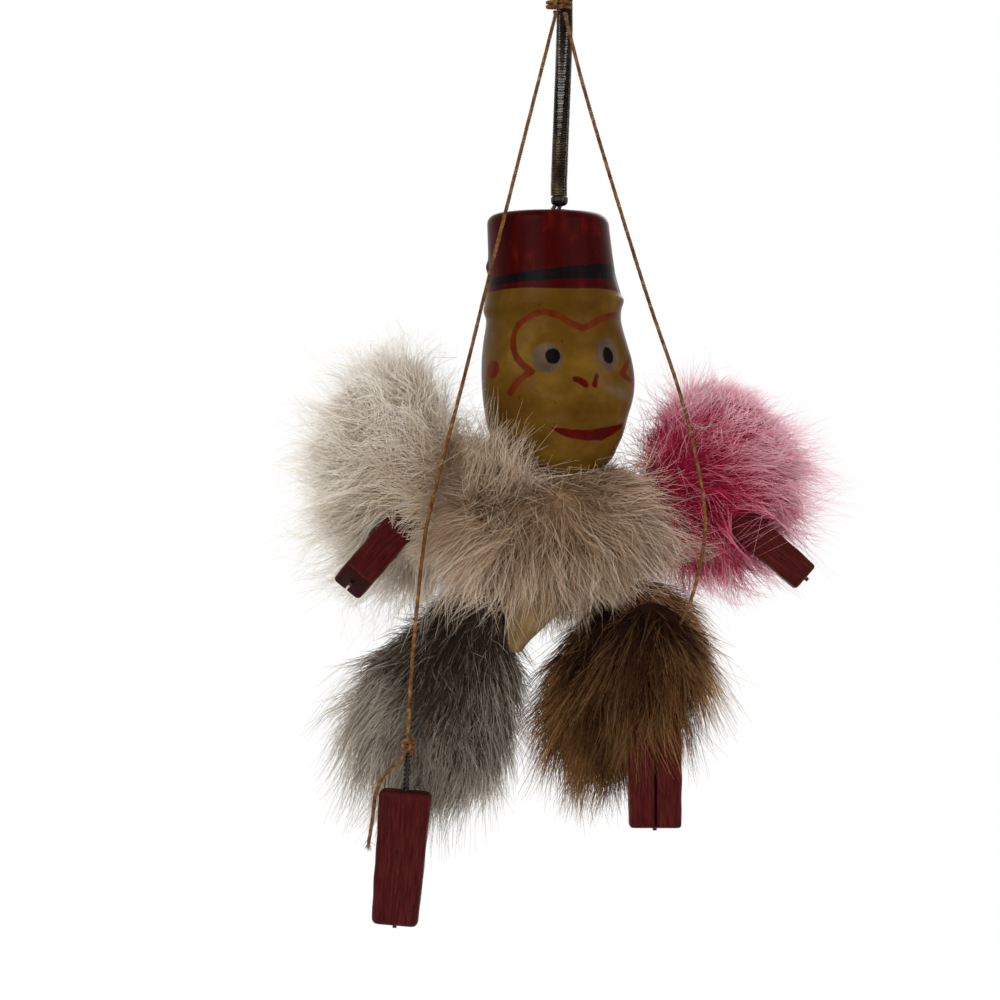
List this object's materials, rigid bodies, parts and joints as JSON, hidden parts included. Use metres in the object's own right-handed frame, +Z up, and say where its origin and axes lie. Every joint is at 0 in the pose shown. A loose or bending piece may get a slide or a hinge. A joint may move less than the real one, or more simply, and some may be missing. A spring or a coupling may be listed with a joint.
{
  "type": "hanging bouncing toy monkey",
  "caption": "Toy monkey with a hollow celluloid head and fez, fur limbs, wooden hands and feet, bouncing on a tension spring, feet tied up by two strings.",
  "frame": {"origin": "inside top of the spring's upper hook eye, where the toy hangs", "axes": "+X to the viewer's right, +Y away from the viewer, +Z up; the face is turned 24 degrees to the viewer's right of -Y"},
  "size_m": [0.0961, 0.0348, 0.1835],
  "materials": {
    "spring_steel": "satin",
    "black_wire": "satin",
    "celluloid": "gloss",
    "red_wood": "satin",
    "plain_wood": "matte",
    "white_fur": "matte",
    "pink_fur": "matte",
    "grey_fur": "matte",
    "brown_fur": "matte",
    "thread": "matte"
  },
  "bodies": {
    "hanger": {"top_hook": "spring_steel", "bounce_spring": "spring_steel", "string_top_knot": "thread"},
    "figure": {"spring_end": "black_wire", "spine_wire": "black_wire", "head_stop": "plain_wood", "neck_plug": "plain_wood", "shoulder_link": "black_wire", "hip_link": "black_wire", "torso_pelt": "white_fur"},
    "head": {"head": "celluloid"},
    "left_arm": {"left_arm_wire": "black_wire", "left_arm_pelt": "white_fur", "left_hand": "red_wood"},
    "right_arm": {"right_arm_wire": "black_wire", "right_arm_pelt": "pink_fur", "right_hand": "red_wood"},
    "left_leg": {"left_leg_wire": "black_wire", "left_leg_pelt": "grey_fur", "left_foot": "red_wood", "left_foot_knot": "thread", "string_tail": "thread"},
    "right_leg": {"right_leg_wire": "black_wire", "right_leg_pelt": "brown_fur", "right_foot": "red_wood", "right_foot_knot": "thread"},
    "left_string": {"left_string": "thread"},
    "right_string": {"right_string": "thread"}
  },
  "joints": [
    {"name": "bounce", "type": "slide", "parent": "hanger", "child": "figure", "axis": [0, 0, -1], "range_m": [0, 0.012], "stiffness_N_per_m": 30, "springref_m": -0.008, "deforming": ["bounce_spring"]},
    {"name": "head_swivel", "type": "hinge", "parent": "figure", "child": "head", "pos_m": [-0.0012, 0, -0.0478], "axis": [0, 0, 1], "range_deg": [-60, 25]},
    {"name": "left_shoulder", "type": "hinge", "parent": "figure", "child": "left_arm", "pos_m": [-0.0154, -0.0002, -0.1025], "axis": [0, 1, 0], "range_deg": [-10, 25]},
    {"name": "right_shoulder", "type": "hinge", "parent": "figure", "child": "right_arm", "pos_m": [0.013, -0.0002, -0.1025], "axis": [0, -1, 0], "range_deg": [-15, 25]},
    {"name": "left_hip", "type": "hinge", "parent": "figure", "child": "left_leg", "pos_m": [-0.0122, -0.0011, -0.1169], "axis": [-1, 0, 0], "range_deg": [0, 42.5]},
    {"name": "right_hip", "type": "hinge", "parent": "figure", "child": "right_leg", "pos_m": [0.0098, -0.0011, -0.1169], "axis": [-1, 0, 0], "range_deg": [0, 49.5]},
    {"name": "left_string_swing", "type": "hinge", "parent": "hanger", "child": "left_string", "pos_m": [-0.0007, -0.0029, -0.0096], "axis": [-1, 0, 0], "range_deg": [0, 8.4]},
    {"name": "right_string_swing", "type": "hinge", "parent": "hanger", "child": "right_string", "pos_m": [0.0009, -0.0029, -0.0096], "axis": [-1, 0, 0], "range_deg": [0, 5.3]}
  ],
  "couplings": [
    {"joint": "left_hip", "follows": "bounce", "rad_per_m": 61.68},
    {"joint": "right_hip", "follows": "bounce", "rad_per_m": 71.86},
    {"joint": "left_string_swing", "follows": "bounce", "rad_per_m": 12.18},
    {"joint": "right_string_swing", "follows": "bounce", "rad_per_m": 7.67}
  ]
}
